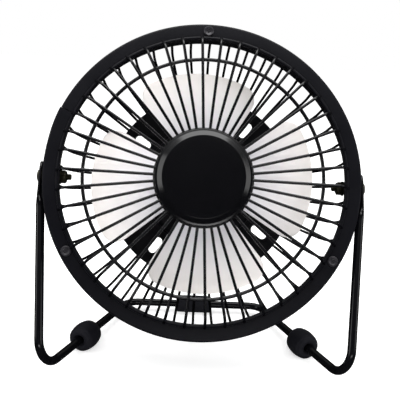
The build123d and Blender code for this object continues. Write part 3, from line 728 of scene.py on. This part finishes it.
# Inside the cup and cover sits a small brushed motor: steel can, magnets, armature and brushes.
# Its pieces keep their drawn shapes, each in its own metal, ceramic, copper or plastic.
plated = coating(
    "plated_steel", ((0.50, 0.50, 0.51), (0.60, 0.60, 0.61)), (0.24, 0.36),
    grain=1200, relief=0.000006, metallic=1.0, patches=120)
ferrite = coating(
    "ferrite", ((0.05, 0.05, 0.054), (0.085, 0.085, 0.09)), (0.6, 0.8),
    grain=2400, relief=0.00002, metallic=0.2, patches=300)
laminations = coating(
    "core_steel", ((0.34, 0.33, 0.32), (0.46, 0.45, 0.44)), (0.38, 0.52),
    grain=2000, relief=0.00001, metallic=1.0, patches=400)
copper = coating(
    "enamelled_copper", ((0.50, 0.17, 0.06), (0.66, 0.27, 0.11)), (0.22, 0.34),
    grain=2600, relief=0.00003, metallic=1.0, patches=500)
bronze = coating(
    "bearing_bronze", ((0.48, 0.31, 0.12), (0.62, 0.43, 0.20)), (0.30, 0.42),
    grain=2200, relief=0.00001, metallic=1.0, patches=300)
cover_plastic = coating(
    "moulded_black", ((0.012, 0.012, 0.014), (0.018, 0.018, 0.020)), (0.46, 0.58),
    grain=2400, relief=0.00003, gloss=0.4, patches=90)
red_lead = coating(
    "red_lead", ((0.36, 0.02, 0.015), (0.48, 0.035, 0.03)), (0.36, 0.46),
    grain=1500, relief=0.00001, gloss=0.5, patches=200)
drawn_shapes = {
    "motor_can": plated, "motor_magnets": ferrite, "motor_end_cap": cover_plastic,
    "motor_brushes": bronze, "front_bush": bronze, "rear_bush": bronze, "motor_shaft": plated,
    "armature_core": laminations, "armature_windings": copper, "commutator": copper,
    "lead_wires": red_lead, "guard_lugs": powder_coat, "pivot_bushes": rubber,
    "pivot_spacers": zinc, "pivot_washers": zinc}
for node, finish in drawn_shapes.items():
    data = frame["nodes"][node].data
    data.materials.clear()
    data.materials.append(finish)


# The blade wheel is stamped from one sheet of soft aluminium: a hub with four broad blades.
# Each blade is twisted out of the flat beyond the hub and cupped a little towards the front.
wheel_y = -0.002
blade_thick = 0.0008
blade_tip_r = 0.0515
blade_corner_r = 0.008
blade_half_angle = radians(70.5) / 2
blade_pitch = tan(radians(12))
blade_cup = 0.0011
first_blade = radians(4)
hub_r = 0.0135
spigot_r = 0.003
twist_full_r = 0.027
bead_r = 0.0098


def blade_half_at(radius):
    """Half of the blade's angle at this radius: straight edges, then rounded tip corners."""
    into_corner = radius - (blade_tip_r - blade_corner_r)
    if into_corner <= 0:
        return blade_half_angle
    shortfall = blade_corner_r - sqrt(max(0.0, blade_corner_r ** 2 - into_corner ** 2))
    return blade_half_angle - shortfall / radius


def blade_depth(radius, angle):
    """How far the sheet lies behind the wheel's plane, at an angle from the blade's middle."""
    twist = -blade_pitch * radius * sin(angle) * ease(radius, hub_r * 0.9, twist_full_r)
    across = angle / blade_half_angle
    cup = blade_cup * across * across * ease(radius, hub_r, blade_tip_r)
    bead = -0.0006 * max(0.0, 1 - ((radius - bead_r) / 0.0012) ** 2) ** 2
    return twist + cup + bead


across_steps = 26
gap_steps = 6
hub_radii = [spigot_r + (hub_r - spigot_r) * k / 18 for k in range(19)]
blade_radii = [hub_r + (blade_tip_r - blade_corner_r - hub_r) * k / 16 for k in range(1, 17)]
blade_radii += [blade_tip_r - blade_corner_r * (1 - sin(pi / 2 * k / 10)) for k in range(1, 11)]
mesh = bmesh.new()
hub_angles = []
for b in range(4):
    middle = first_blade + b * tau / 4
    shares = [2 * j / across_steps - 1 for j in range(across_steps)]
    hub_angles += [middle + blade_half_angle * share for share in shares]
    gap = tau / 4 - 2 * blade_half_angle
    hub_angles += [middle + blade_half_angle + gap * j / gap_steps for j in range(gap_steps)]
hub_rows = [[mesh.verts.new(at_head(r, a, wheel_y + blade_depth(r, 0))) for a in hub_angles]
            for r in hub_radii]
for row, following in zip(hub_rows, hub_rows[1:]):
    for j in range(len(row)):
        mesh.faces.new((row[j - 1], row[j], following[j], following[j - 1]))
for b in range(4):
    middle = first_blade + b * tau / 4
    start = b * (across_steps + gap_steps)
    rows = [hub_rows[-1][start:start + across_steps + 1]]
    for r in blade_radii:
        half = blade_half_at(r)
        angles = [half * (2 * j / across_steps - 1) for j in range(across_steps + 1)]
        places = [at_head(r, middle + a, wheel_y + blade_depth(r, a)) for a in angles]
        rows.append([mesh.verts.new(place) for place in places])
    for row, following in zip(rows, rows[1:]):
        for j in range(across_steps):
            mesh.faces.new((row[j], row[j + 1], following[j + 1], following[j]))
wheel = to_object("blade_sheet", mesh, head_place, sharp=radians(60))
stamping = wheel.modifiers.new("sheet", "SOLIDIFY")
stamping.thickness = blade_thick
stamping.offset = 0
rounding = wheel.modifiers.new("edges", "BEVEL")
rounding.width = 0.00016
rounding.segments = 2
rounding.angle_limit = radians(50)
settle(wheel)
hard_edges(wheel, radians(50))


def aluminium_painted_light():
    """Satin sheet with fine rolling lines; its colour carries painted light: a darker, cooler
    painted shade towards the hub and a lighter, warmer painted light towards the tips.
    """
    finish = bpy.data.materials.new("aluminium_painted_light")
    finish.use_nodes = True
    nodes, links = finish.node_tree.nodes, finish.node_tree.links
    shader = nodes["Principled BSDF"]
    shader.inputs["Metallic"].default_value = 0.25
    place = nodes.new("ShaderNodeTexCoord")
    to_head = nodes.new("ShaderNodeMapping")
    to_head.vector_type = "POINT"
    local = head_place.inverted()
    to_head.inputs["Location"].default_value = local.to_translation()
    to_head.inputs["Rotation"].default_value = local.to_euler()
    links.new(place.outputs["Object"], to_head.inputs["Vector"])
    flat = nodes.new("ShaderNodeVectorMath")
    flat.operation = "MULTIPLY"
    flat.inputs[1].default_value = (1, 0, 1)
    links.new(to_head.outputs["Vector"], flat.inputs[0])
    reach = nodes.new("ShaderNodeVectorMath")
    reach.operation = "LENGTH"
    links.new(flat.outputs["Vector"], reach.inputs[0])
    outward = nodes.new("ShaderNodeMapRange")
    outward.inputs["From Min"].default_value = 0.020
    outward.inputs["From Max"].default_value = blade_tip_r
    links.new(reach.outputs["Value"], outward.inputs["Value"])
    # Painted shade and light: the base colour runs from a darker cool tone at the hub to a
    # lighter warm tone at the tips.
    tone = nodes.new("ShaderNodeMix")
    tone.data_type = "RGBA"
    tone.inputs["A"].default_value = (0.80, 0.785, 0.835, 1)
    tone.inputs["B"].default_value = (0.97, 0.925, 0.895, 1)
    links.new(outward.outputs["Result"], tone.inputs["Factor"])
    links.new(tone.outputs["Result"], shader.inputs["Base Color"])
    lines = nodes.new("ShaderNodeMapping")
    lines.inputs["Scale"].default_value = (60, 900, 2600)
    links.new(to_head.outputs["Vector"], lines.inputs["Vector"])
    rolling = nodes.new("ShaderNodeTexNoise")
    rolling.inputs["Scale"].default_value = 1.0
    rolling.inputs["Detail"].default_value = 3.0
    links.new(lines.outputs["Vector"], rolling.inputs["Vector"])
    polish = nodes.new("ShaderNodeMapRange")
    polish.inputs["To Min"].default_value = 0.38
    polish.inputs["To Max"].default_value = 0.52
    links.new(rolling.outputs["Fac"], polish.inputs["Value"])
    links.new(polish.outputs["Result"], shader.inputs["Roughness"])
    bump = nodes.new("ShaderNodeBump")
    bump.inputs["Distance"].default_value = 0.000004
    links.new(rolling.outputs["Fac"], bump.inputs["Height"])
    links.new(bump.outputs["Normal"], shader.inputs["Normal"])
    return finish


aluminium = aluminium_painted_light()
fit(wheel, "rotor", "blade_aluminium", aluminium, "blade_wheel")


# A turned brass boss grips the motor shaft and carries the wheel.
# Its front spigot is spun over the sheet, and the back collar is drilled for a set screw.
shaft_r = 0.001
boss_r = 0.004
shoulder_r = 0.0055
nose_y = wheel_y - 0.0022
sheet_front = wheel_y - blade_thick / 2
sheet_back = wheel_y + blade_thick / 2
shoulder_y = sheet_back + 0.0015
boss_end_y = sheet_back + 0.0065
boss_outline = eased([
    (shaft_r, nose_y, 0.0001), (0.0024, nose_y, 0.0003), (0.0035, sheet_front - 0.0007, 0.0002),
    (0.0035, sheet_front, 0.0001), (spigot_r, sheet_front, 0), (spigot_r, sheet_back, 0),
    (shoulder_r, sheet_back, 0.0002), (shoulder_r, shoulder_y, 0.0003),
    (boss_r, shoulder_y, 0.0002), (boss_r, boss_end_y, 0.0004), (shaft_r, boss_end_y, 0.0001)], 4)
mesh = bmesh.new()
turned(mesh, boss_outline, 72)
boss = to_object("blade_boss_turned", mesh)
drill = bmesh.new()
set_screw_y = sheet_back + 0.0042
round_bar(drill, Vector((0.003, set_screw_y, 0)), Vector((0.006, set_screw_y, 0)), 0.0009, 24)
cut_with(boss, to_object("drill", drill))
boss.data.transform(head_place)
fit(boss, "rotor", "bronze", bronze, "blade_boss")


# A moulded cup closes the back of the motor, held by three long screws in deep pockets.
# Vent slits run round its side, and openings are left for the switch and the cord.
cover_r = 0.0285
cover_front_y = disc_y + sheet
cover_back_y = 0.042
cover_wall = 0.0015
switch_z = 0.009
inlet_z = -0.015
vent_count = 24
vent_y = 0.030
pocket_r = 0.0024
pocket_y = 0.0395
post_r = 0.0032
post_hole_r = 0.0014
beyond = 0.050


def block(mesh, size, centre=(0, 0, 0), turn=Matrix.Identity(4)):
    place = turn @ Matrix.Translation(centre) @ Matrix.Diagonal((*size, 1))
    bmesh.ops.create_cube(mesh, size=1.0, matrix=place)


cover_outline = eased([
    (cover_r, cover_front_y, 0.0003), (cover_r, cover_back_y, 0.004),
    (0.0, cover_back_y, 0), (0.0, cover_back_y - cover_wall, 0),
    (cover_r - cover_wall, cover_back_y - cover_wall, 0.0025),
    (cover_r - cover_wall, cover_front_y, 0.0002)], 9)
mesh = bmesh.new()
turned(mesh, cover_outline, 144)
cover = to_object("cover_cup", mesh)
cutters = bmesh.new()
for k in range(vent_count):
    angle = tau * (k + 0.5) / vent_count
    place = Matrix.Rotation(-angle, 4, "Y")
    block(cutters, (0.004, 0.0095, 0.0016), (cover_r, vent_y, 0), place)
block(cutters, (0.009, 0.010, 0.014), (0, cover_back_y, switch_z))
round_bar(cutters, Vector((0, 0.035, inlet_z)), Vector((0, beyond, inlet_z)), pocket_r, 40)
for angle in cover_screw_angles:
    x, z = cover_screw_r * cos(angle), cover_screw_r * sin(angle)
    round_bar(cutters, Vector((x, pocket_y, z)), Vector((x, beyond, z)), pocket_r, 40)
cut_with(cover, to_object("cutters", cutters))
mesh = bmesh.new()
for angle in cover_screw_angles:
    post = eased([
        (post_hole_r, cover_front_y, 0), (post_r, cover_front_y, 0.0002),
        (post_r, pocket_y + 0.0001, 0), (post_hole_r, pocket_y + 0.0001, 0)], 3)
    column = bmesh.new()
    turned(column, post, 32)
    bmesh.ops.translate(column, verts=column.verts, vec=at_head(cover_screw_r, angle, 0))
    held = bpy.data.meshes.new("post")
    column.to_mesh(held)
    column.free()
    mesh.from_mesh(held)
posts = to_object("posts", mesh)
cover = joined("cover_cup", [cover, posts])
cover.data.transform(head_place)
fit(cover, "head", "cover_plastic", cover_plastic, "rear_cover")
pocket_head = [(0, 0.0410), (0.0012, 0.04095), (0.0019, 0.0407), (0.0023, 0.0402),
               (0.0023, pocket_y)]
screws = []
for angle in cover_screw_angles:
    turn = Matrix.Rotation(angle * 2.3, 4, "Y")
    place = head_place @ Matrix.Translation(at_head(cover_screw_r, angle, 0)) @ turn
    screws.append(screw("screw", pocket_head, screw_shank_r, disc_y, 0.0410, 0.0024, place))
fit(joined("cover_cup_screws", screws), "head", "screw_black", screw_steel, "cover_screws")


# The switch is a small snap-in rocker: a bezel with a pocket, and a V-backed button on two pins.
# The button is smooth moulded plastic with a white bar and ring pressed into its two halves.
bezel_y = cover_back_y + 0.001
switch_front_y = 0.0325
hinge = Vector((0, 0.0406, switch_z))
rocker_rest = radians(7)
mesh = bmesh.new()
case_depth = cover_back_y - switch_front_y
case_middle_y = (cover_back_y + switch_front_y) / 2
block(mesh, (0.0088, case_depth, 0.0138), (0, case_middle_y, switch_z))
case = to_object("switch_case", mesh)
mesh = bmesh.new()
block(mesh, (0.011, 0.001, 0.016), (0, cover_back_y + 0.0005, switch_z))
bezel = to_object("bezel", mesh)
softened = bezel.modifiers.new("edges", "BEVEL")
softened.width = 0.0005
softened.segments = 4
settle(bezel)
for shell in (case, bezel):
    cutters = bmesh.new()
    block(cutters, (0.0071, 0.012, 0.0122), (0, bezel_y, switch_z))
    cut_with(shell, to_object("pocket", cutters))
switch = joined("switch_case", [case, bezel])
switch.data.transform(head_place)
switch_plastic = coating(
    "switch_plastic", ((0.010, 0.010, 0.011), (0.015, 0.015, 0.016)), (0.18, 0.26),
    grain=900, relief=0.000004, gloss=0.5, patches=200)
fit(switch, "head", "switch_plastic", switch_plastic, "switch_body")

rocker_half = 0.0055
rocker_half_width = 0.0033
rocker_top = 0.0034
rocker_dip = 0.0011
side_view = [(-rocker_half, -0.0006), (0, -0.0024), (rocker_half, -0.0006)]
side_view += [(rocker_half * (1 - k / 8), rocker_top - rocker_dip * sin(pi / 2 * k / 8))
              for k in range(9)]
side_view += [(-rocker_half * k / 8, rocker_top - rocker_dip * cos(pi / 2 * k / 8))
              for k in range(1, 9)]
mesh = bmesh.new()
ends = [[mesh.verts.new((x, y, z)) for z, y in side_view]
        for x in (-rocker_half_width, rocker_half_width)]
mesh.faces.new(ends[0])
mesh.faces.new(ends[1])
for j in range(len(side_view)):
    mesh.faces.new((ends[0][j - 1], ends[0][j], ends[1][j], ends[1][j - 1]))
button = to_object("button", mesh)
softened = button.modifiers.new("edges", "BEVEL")
softened.width = 0.00035
softened.segments = 3
settle(button)
mesh = bmesh.new()
round_bar(mesh, Vector((-0.004, 0, 0)), Vector((0.004, 0, 0)), 0.0006, 20)
rocker_place = head_place @ Matrix.Translation(hinge) @ Matrix.Rotation(rocker_rest, 4, "X")
rocker = joined("rocker_button", [button, to_object("pins", mesh)])
rocker.data.transform(rocker_place)
fit(rocker, "rocker", "switch_plastic", switch_plastic, "switch_rocker")
mark_paint = coating(
    "mark_paint", ((0.72, 0.72, 0.70), (0.80, 0.80, 0.78)), (0.4, 0.5),
    grain=1500, relief=0.000005, patches=300)
mesh = bmesh.new()
mark_at = 0.0035
mark_r = 0.00095
bar_y = rocker_top - rocker_dip * sin(pi / 2 * 0.36)
block(mesh, (0.0022, 0.0002, 0.00045), (0, bar_y + 0.00002, mark_at))
ring_y = rocker_top - rocker_dip / 2
ring_points = [Vector((x, ring_y, z - mark_at)) for x, z in circle_points(mark_r, 24)]
skin_along(mesh, ring_points, [oval(0.0002, 0.0002, sides=8)] * 24, closed=True)
marks = to_object("rocker_marks", mesh, rocker_place)
fit(marks, "rocker", "switch_plastic", mark_paint)


# A rubber grommet lines the hole where the cord goes in; the cord itself is not part of this.
# It is a soft ring with a rounded outer lip, pushed in from outside.
grommet_outline = eased([
    (0.0018, 0.0390, 0.0002), (0.0024, 0.0390, 0.0003), (0.0024, cover_back_y, 0),
    (0.0036, cover_back_y, 0.0002), (0.0036, 0.0436, 0.0008), (0.0018, 0.0436, 0.0005)], 6)
mesh = bmesh.new()
turned(mesh, grommet_outline, 48)
grommet = to_object("inlet_grommet", mesh, head_place @ Matrix.Translation((0, 0, inlet_z)))
fit(grommet, "head", "foot_rubber", rubber, "cord_grommet")


# On each side a bolt runs through the leg and the ring, clamped inside by a hexagon nut.
# Bolts and nuts are yellow zinc plated; friction in the stack holds the head at any tilt.
bolt_r = 0.0015
bolt_head_r = 0.0029
bolt_tail_x = 0.061
bolt_shoulder_x = plate_x + flat_half_thick + 0.00005
bolt_head_x = 0.0767
nut_x = 0.0632
nut_thick = 0.0025
nut_flat = 0.00275
socket_r = 0.0011
thread_pitch = 0.0005
threads = []
for k in range(int(0.0058 / thread_pitch)):
    x = bolt_tail_x + 0.0003 + k * thread_pitch
    threads += [(bolt_r - 0.00022, x), (bolt_r, x + thread_pitch / 2)]
head_curve = []
for k in range(8):
    climb = pi / 2 * k / 8
    x = mixed(bolt_shoulder_x + 0.0005, bolt_head_x, sin(climb))
    head_curve.append((bolt_head_r * cos(climb), x))
bolt_outline = [(0, bolt_tail_x), (bolt_r - 0.0003, bolt_tail_x)] + threads
bolt_outline += [(bolt_r, bolt_shoulder_x), (bolt_head_r, bolt_shoulder_x)]
bolt_outline += head_curve + [(0, bolt_head_x)]


def hexagon_reach(angle, radius, depth):
    """Turns a round outline into a hexagon with chamfered ends; the bore stays round."""
    if radius < bolt_r + 0.0002:
        return radius
    around = (angle + pi / 6) % (pi / 3) - pi / 6
    return min(radius, nut_flat / cos(around))


nut_corner_r = nut_flat / cos(pi / 6)
nut_outline = [
    (bolt_r, nut_x), (nut_flat - 0.0001, nut_x), (nut_corner_r, nut_x + 0.0005),
    (nut_corner_r, nut_x + nut_thick - 0.0003), (nut_flat, nut_x + nut_thick),
    (bolt_r, nut_x + nut_thick)]
bolts = []
nuts = []
for side in (1, -1):
    outward = head_place @ Matrix.Rotation(-pi / 2 * side, 4, "Z")
    mesh = bmesh.new()
    turned(mesh, bolt_outline, 48)
    bolt = to_object("bolt", mesh)
    socket = bmesh.new()
    socket_ends = [Vector((0, bolt_head_x - 0.0008, 0)), Vector((0, bolt_head_x + 0.001, 0))]
    skin_along(socket, socket_ends, [oval(socket_r, socket_r, sides=6)] * 2)
    cut_with(bolt, to_object("socket", socket))
    bolt.data.transform(outward)
    bolts.append(bolt)
    mesh = bmesh.new()
    turned(mesh, nut_outline, 72, swell=hexagon_reach)
    nuts.append(to_object("nut", mesh, outward @ Matrix.Rotation(0.4 * side, 4, "Y")))
fit(joined("pivot_bolt_pair", bolts), "head", "bolt_zinc", zinc, "pivot_bolts")
fit(joined("pivot_nut_pair", nuts), "head", "bolt_zinc", zinc, "pivot_nuts")


# The fan stands on a wide white table that runs off behind it without a visible end.
# Soft lights hang overhead and at each side, a low strip catches the lower edges and one fills.
# The room looks white, but lights the fan mostly from above, so black paint stays black.
mesh = bmesh.new()
bmesh.ops.create_grid(mesh, x_segments=2, y_segments=2, size=6.0)
floor = to_object("floor", mesh)
floor_paper = coating(
    "white_paper", ((0.86, 0.86, 0.86), (0.88, 0.88, 0.88)), (0.85, 0.95),
    grain=700, relief=0.00001, gloss=0.2, patches=3)
paper_shader = floor_paper.node_tree.nodes["Principled BSDF"]
paper_shader.inputs["Emission Color"].default_value = (1, 1, 1, 1)
paper_shader.inputs["Emission Strength"].default_value = 0.65
floor.data.materials.append(floor_paper)
floor.visible_glossy = False


def soft_light(name, place, aim, width, height, power):
    data = bpy.data.lights.new(name, "AREA")
    data.shape = "RECTANGLE"
    data.size = width
    data.size_y = height
    data.energy = power
    lamp = bpy.data.objects.new(name, data)
    bpy.context.scene.collection.objects.link(lamp)
    lamp.location = place
    lamp.rotation_euler = (Vector(aim) - Vector(place)).to_track_quat("-Z", "Y").to_euler()
    return lamp


head_height = pivot.z
soft_light("light_overhead", (0.0, -0.10, 0.95), (0, 0, head_height), 0.9, 0.7, 8.0)
soft_light("light_left", (-0.75, -0.28, 0.35), (0, 0, head_height), 0.30, 0.6, 1.7)
soft_light("light_right", (0.75, -0.28, 0.35), (0, 0, head_height), 0.30, 0.6, 1.4)
soft_light("light_low", (0.06, -0.50, 0.03), (0, 0, head_height), 0.30, 0.04, 0.30)
front_fill = soft_light("light_front", (0.0, -0.95, 0.85), (0, 0, head_height), 1.2, 0.9, 7.0)
front_fill.visible_glossy = False

world = bpy.data.worlds.new("white_room")
world.use_nodes = True
nodes, links = world.node_tree.nodes, world.node_tree.links
direction = nodes.new("ShaderNodeTexCoord")
split = nodes.new("ShaderNodeSeparateXYZ")
links.new(direction.outputs["Generated"], split.inputs["Vector"])
glow = nodes.new("ShaderNodeMath")
glow.operation = "ADD"
for n, (axis, start, end, least, most) in enumerate((
        ("Z", 0.50, 0.90, 0.02, 0.97), ("Y", -0.2, -0.9, 0.0, 0.03))):
    ramp = nodes.new("ShaderNodeMapRange")
    ramp.inputs["From Min"].default_value = start
    ramp.inputs["From Max"].default_value = end
    ramp.inputs["To Min"].default_value = least
    ramp.inputs["To Max"].default_value = most
    links.new(split.outputs[axis], ramp.inputs["Value"])
    links.new(ramp.outputs["Result"], glow.inputs[n])
ray = nodes.new("ShaderNodeLightPath")
strength = nodes.new("ShaderNodeMix")
strength.inputs["B"].default_value = 1.0
links.new(ray.outputs["Is Camera Ray"], strength.inputs["Factor"])
links.new(glow.outputs["Value"], strength.inputs["A"])
links.new(strength.outputs["Result"], nodes["Background"].inputs["Strength"])
nodes["Background"].inputs["Color"].default_value = (1, 1, 1, 1)
bpy.context.scene.world = world
bpy.context.scene.view_settings.view_transform = "Standard"
